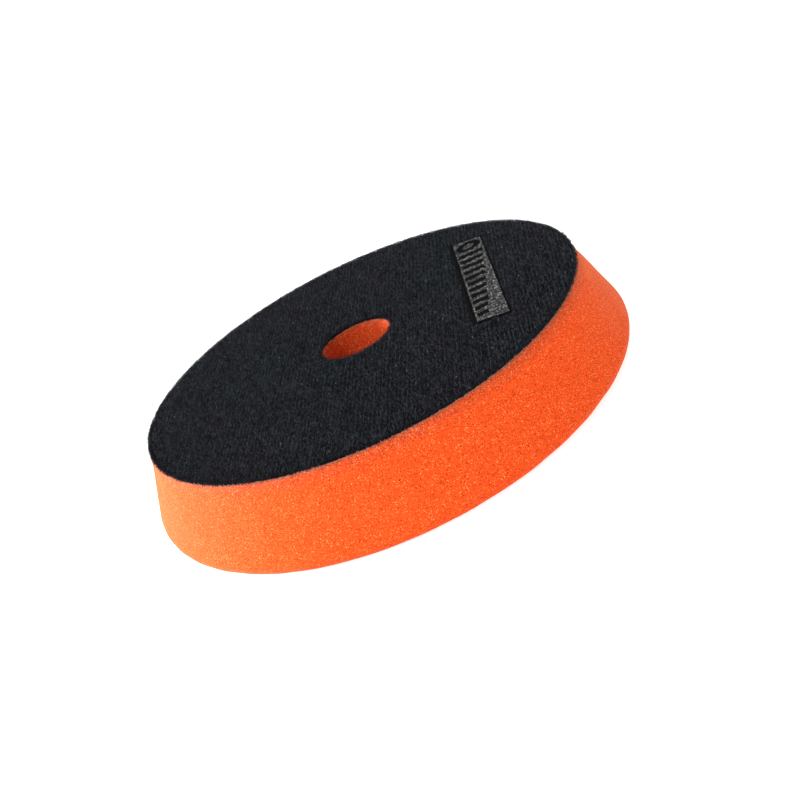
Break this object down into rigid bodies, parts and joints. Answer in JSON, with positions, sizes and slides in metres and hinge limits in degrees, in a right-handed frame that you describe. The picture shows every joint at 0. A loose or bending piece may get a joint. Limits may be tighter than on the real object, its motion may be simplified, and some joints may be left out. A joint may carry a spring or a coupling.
{
  "type": "polishing pad",
  "caption": "Flared foam polishing pad with a rounded working edge, a centre hole and a loop-pile backing that grips a hook-faced plate.",
  "frame": {"origin": "centre of the working face, on the pad's axis", "axes": "+Z out of the loop face; +X from the axis towards the centre of the label; +Y square to both, so the label's long edges lie 8 degrees and the wales of the knit 12.5 degrees off it"},
  "size_m": [0.1416, 0.1416, 0.025],
  "materials": {
    "foam": "fine open-cell polyurethane foam, matt, with small glints where cell walls catch the light",
    "adhesive": "thin cured laminating adhesive, milky",
    "base_knit": "black warp-knit polyester ground",
    "loop_yarn": "black brushed nylon loops, matt with a slight sheen",
    "label_black": "heat-pressed black transfer film",
    "label_grey": "speckled grey transfer ink"
  },
  "bodies": {
    "root": {"foam_disc": "foam", "adhesive_film": "adhesive", "base_cloth": "base_knit", "loop_pile": "loop_yarn", "label_film": "label_black", "label_ink": "label_grey"}
  },
  "joints": []
}
